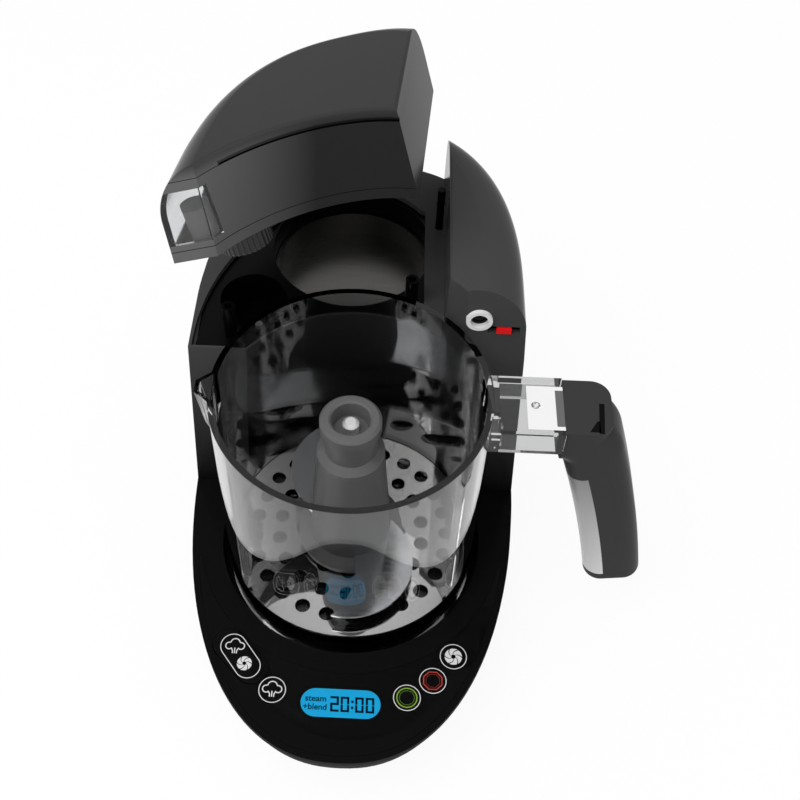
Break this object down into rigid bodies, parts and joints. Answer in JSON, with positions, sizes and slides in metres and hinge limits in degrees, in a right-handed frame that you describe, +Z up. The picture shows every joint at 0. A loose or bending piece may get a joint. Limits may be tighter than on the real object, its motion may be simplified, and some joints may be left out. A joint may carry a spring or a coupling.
{
  "type": "baby food maker",
  "caption": "Black egg-shaped steamer and blender base with a clear handled bowl, blade hub, control panel and a lifted-out water tank.",
  "frame": {"origin": "on the table, under the middle of the object's bounding box as shown, with the tank lifted", "axes": "+Z up, +Y to the back of the machine, +X to the handle side"},
  "size_m": [0.2392, 0.3176, 0.2666],
  "materials": {
    "black_gloss": "gloss",
    "black_satin": "satin",
    "clear_smoke": "gloss",
    "clear_white": "gloss",
    "display_blue": "gloss",
    "board": "matte",
    "white_silicone": "matte",
    "red_plastic": "gloss",
    "grey_plastic": "satin",
    "steel": "satin",
    "boiler_metal": "satin",
    "bearing_brass": "satin",
    "motor_metal": "satin",
    "rubber": "matte"
  },
  "bodies": {
    "base": {"bottom_tray": "black_satin", "upper_housing": "black_gloss", "tower_cover": "black_gloss", "rubber_feet": "rubber", "tray_screws": "steel", "control_panel": "black_gloss", "lcd_window": "display_blue", "control_board": "board", "lcd_module": "grey_plastic", "key_switches": "grey_plastic", "tank_seat": "black_satin", "post_pin": "black_satin", "boiler_dish": "boiler_metal", "boiler_seal": "white_silicone", "heating_element": "steel", "thermostat": "boiler_metal", "valve_pin": "grey_plastic", "steam_port": "white_silicone", "steam_sleeve": "black_satin", "steam_tube": "rubber", "interlock_switch": "grey_plastic", "drive_bush": "bearing_brass", "drive_pivot": "bearing_brass", "motor_can": "motor_metal", "motor_bracket": "steel", "drive_belt": "rubber", "power_board": "board", "cord_grommet": "rubber"},
    "drive": {"drive_shaft": "steel", "driven_pulley": "grey_plastic", "drive_dog": "grey_plastic"},
    "motor_rotor": {"motor_shaft": "steel", "motor_pulley": "grey_plastic"},
    "bowl_unit": {"bowl": "clear_smoke", "handle_grip": "black_gloss", "grip_inlay": "clear_white", "handle_screw": "steel", "strainer_plate": "steel", "bowl_bush": "grey_plastic"},
    "blade_unit": {"blade_hub": "grey_plastic", "blade_spindle": "steel", "spindle_socket": "grey_plastic", "lower_blade": "steel", "upper_blade": "steel"},
    "tank": {"tank_body": "black_gloss", "tank_window": "clear_smoke", "tank_bottom": "black_gloss", "tank_lid": "black_gloss"},
    "cap": {"tank_cap": "black_satin", "cap_gasket": "white_silicone", "valve_spring": "steel", "valve_cage": "grey_plastic"},
    "valve": {"valve_plunger": "grey_plastic"},
    "interlock": {"interlock_tab": "red_plastic"},
    "steam_blend_key": {"steam_blend_key": "black_satin"},
    "steam_key": {"steam_key": "black_satin"},
    "start_key": {"start_key": "black_satin"},
    "stop_key": {"stop_key": "black_satin"},
    "blend_key": {"blend_key": "black_satin"}
  },
  "joints": [
    {"name": "drive_spin", "type": "hinge", "parent": "base", "child": "drive", "pos_m": [-0.0328, -0.0351, 0.03], "axis": [0, 0, 1], "continuous": true},
    {"name": "motor_spin", "type": "hinge", "parent": "base", "child": "motor_rotor", "pos_m": [-0.0228, 0.0799, 0.03], "axis": [0, 0, 1], "continuous": true},
    {"name": "bowl_lift", "type": "slide", "parent": "base", "child": "bowl_unit", "axis": [0, 0, 1], "range_m": [0, 0.05]},
    {"name": "blade_spin", "type": "hinge", "parent": "bowl_unit", "child": "blade_unit", "pos_m": [-0.0328, -0.0351, 0.05], "axis": [0, 0, 1], "continuous": true},
    {"name": "tank_lift", "type": "hinge", "parent": "base", "child": "tank", "pos_m": [-0.2714, 0.0649, 0.1635], "axis": [-0.6269, -0.7742, -0.0868], "range_deg": [-20.55, 0]},
    {"name": "cap_turn", "type": "hinge", "parent": "tank", "child": "cap", "pos_m": [-0.08605, 0.03582, 0.18683], "axis": [-0.2683, 0.2243, 0.9368], "range_deg": [0, 360]},
    {"name": "valve_slide", "type": "slide", "parent": "cap", "child": "valve", "axis": [-0.2683, 0.2243, 0.9368], "range_m": [0, 0.003], "stiffness_N_per_m": 150, "deforming": ["valve_spring"]},
    {"name": "interlock_slide", "type": "slide", "parent": "base", "child": "interlock", "axis": [0, 1, 0], "range_m": [0, 0.0025], "stiffness_N_per_m": 150},
    {"name": "steam_blend_key_press", "type": "slide", "parent": "base", "child": "steam_blend_key", "axis": [0, 0, -1], "range_m": [0, 0.0008], "stiffness_N_per_m": 400},
    {"name": "steam_key_press", "type": "slide", "parent": "base", "child": "steam_key", "axis": [0, 0, -1], "range_m": [0, 0.0008], "stiffness_N_per_m": 400},
    {"name": "start_key_press", "type": "slide", "parent": "base", "child": "start_key", "axis": [0, 0, -1], "range_m": [0, 0.0008], "stiffness_N_per_m": 400},
    {"name": "stop_key_press", "type": "slide", "parent": "base", "child": "stop_key", "axis": [0, 0, -1], "range_m": [0, 0.0008], "stiffness_N_per_m": 400},
    {"name": "blend_key_press", "type": "slide", "parent": "base", "child": "blend_key", "axis": [0, 0, -1], "range_m": [0, 0.0008], "stiffness_N_per_m": 400}
  ],
  "couplings": [
    {"joint": "motor_spin", "follows": "drive_spin", "ratio": 3.5},
    {"joint": "blade_spin", "follows": "drive_spin", "ratio": 1}
  ]
}
